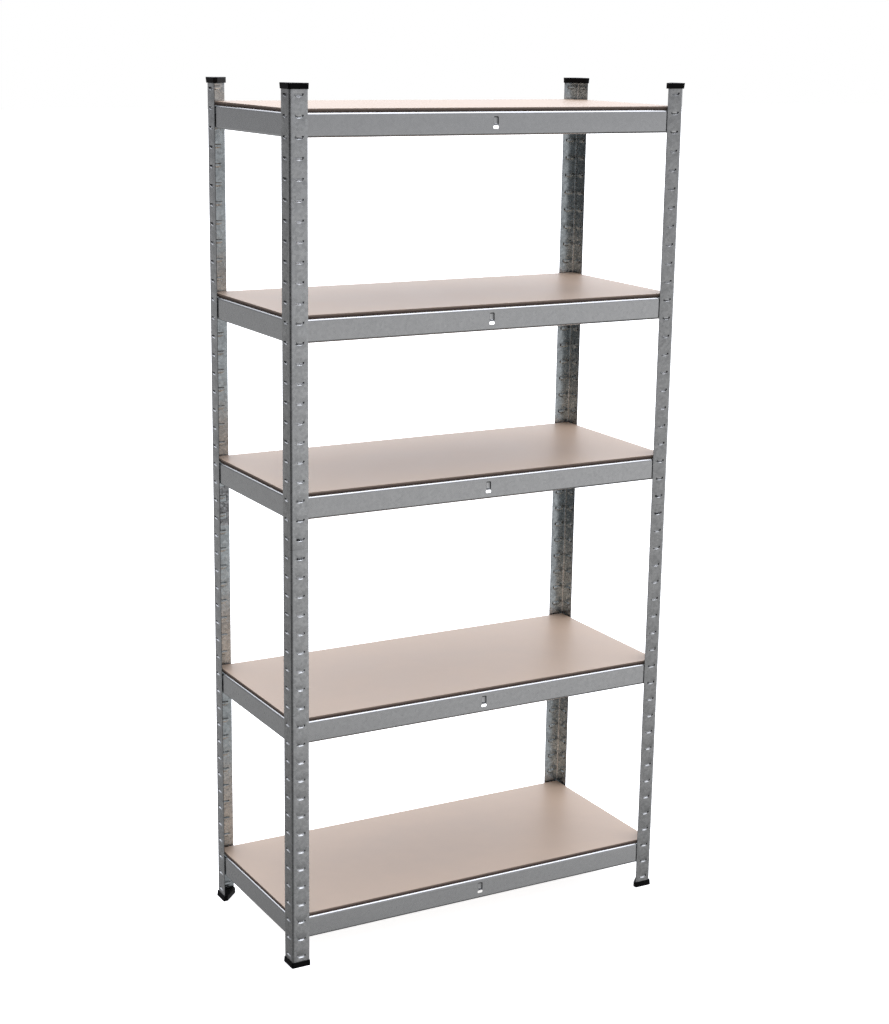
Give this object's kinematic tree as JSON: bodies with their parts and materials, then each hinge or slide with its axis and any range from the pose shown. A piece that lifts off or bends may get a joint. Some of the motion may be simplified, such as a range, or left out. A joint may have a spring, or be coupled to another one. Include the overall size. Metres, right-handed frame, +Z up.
{
  "type": "boltless steel shelving",
  "caption": "Tall free-standing galvanised rack: slotted angle posts, hooked folded beams, loose fibreboard shelves, black plastic feet and top caps.",
  "frame": {"origin": "centre of the footprint, on the floor", "axes": "+Z up, X along the long beams, front of the rack towards -Y"},
  "size_m": [0.9056, 0.4056, 1.8],
  "materials": {
    "galvanised_post": "hot-dip galvanised, dull spangle",
    "galvanised_beam": "galvanised, smooth satin",
    "galvanised_joiner": "galvanised, dull",
    "fibreboard": "smooth pinkish-beige board with darker sawn edges",
    "black_plastic": "moulded black polypropylene"
  },
  "bodies": {
    "frame": {"foot_front_left": "black_plastic", "post_lower_front_left": "galvanised_post", "post_upper_front_left": "galvanised_post", "post_joiner_front_left": "galvanised_joiner", "top_cap_front_left": "black_plastic", "foot_front_right": "black_plastic", "post_lower_front_right": "galvanised_post", "post_upper_front_right": "galvanised_post", "post_joiner_front_right": "galvanised_joiner", "top_cap_front_right": "black_plastic", "foot_back_right": "black_plastic", "post_lower_back_right": "galvanised_post", "post_upper_back_right": "galvanised_post", "post_joiner_back_right": "galvanised_joiner", "top_cap_back_right": "black_plastic", "foot_back_left": "black_plastic", "post_lower_back_left": "galvanised_post", "post_upper_back_left": "galvanised_post", "post_joiner_back_left": "galvanised_joiner", "top_cap_back_left": "black_plastic", "long_beam_front_1": "galvanised_beam", "long_beam_back_1": "galvanised_beam", "short_beam_left_1": "galvanised_beam", "short_beam_right_1": "galvanised_beam", "long_beam_front_2": "galvanised_beam", "long_beam_back_2": "galvanised_beam", "short_beam_left_2": "galvanised_beam", "short_beam_right_2": "galvanised_beam", "long_beam_front_3": "galvanised_beam", "long_beam_back_3": "galvanised_beam", "short_beam_left_3": "galvanised_beam", "short_beam_right_3": "galvanised_beam", "long_beam_front_4": "galvanised_beam", "long_beam_back_4": "galvanised_beam", "short_beam_left_4": "galvanised_beam", "short_beam_right_4": "galvanised_beam", "long_beam_front_5": "galvanised_beam", "long_beam_back_5": "galvanised_beam", "short_beam_left_5": "galvanised_beam", "short_beam_right_5": "galvanised_beam"},
    "board_1": {"shelf_board_1": "fibreboard"},
    "board_2": {"shelf_board_2": "fibreboard"},
    "board_3": {"shelf_board_3": "fibreboard"},
    "board_4": {"shelf_board_4": "fibreboard"},
    "board_5": {"shelf_board_5": "fibreboard"}
  },
  "joints": [
    {"name": "board_1_lift", "type": "slide", "parent": "frame", "child": "board_1", "axis": [0, 0, 1], "range_m": [0, 0.374]},
    {"name": "board_2_lift", "type": "slide", "parent": "frame", "child": "board_2", "axis": [0, 0, 1], "range_m": [0, 0.413]},
    {"name": "board_3_lift", "type": "slide", "parent": "frame", "child": "board_3", "axis": [0, 0, 1], "range_m": [0, 0.296]},
    {"name": "board_4_lift", "type": "slide", "parent": "frame", "child": "board_4", "axis": [0, 0, 1], "range_m": [0, 0.335]},
    {"name": "board_5_lift", "type": "slide", "parent": "frame", "child": "board_5", "axis": [0, 0, 1], "range_m": [0, 0.034]}
  ]
}
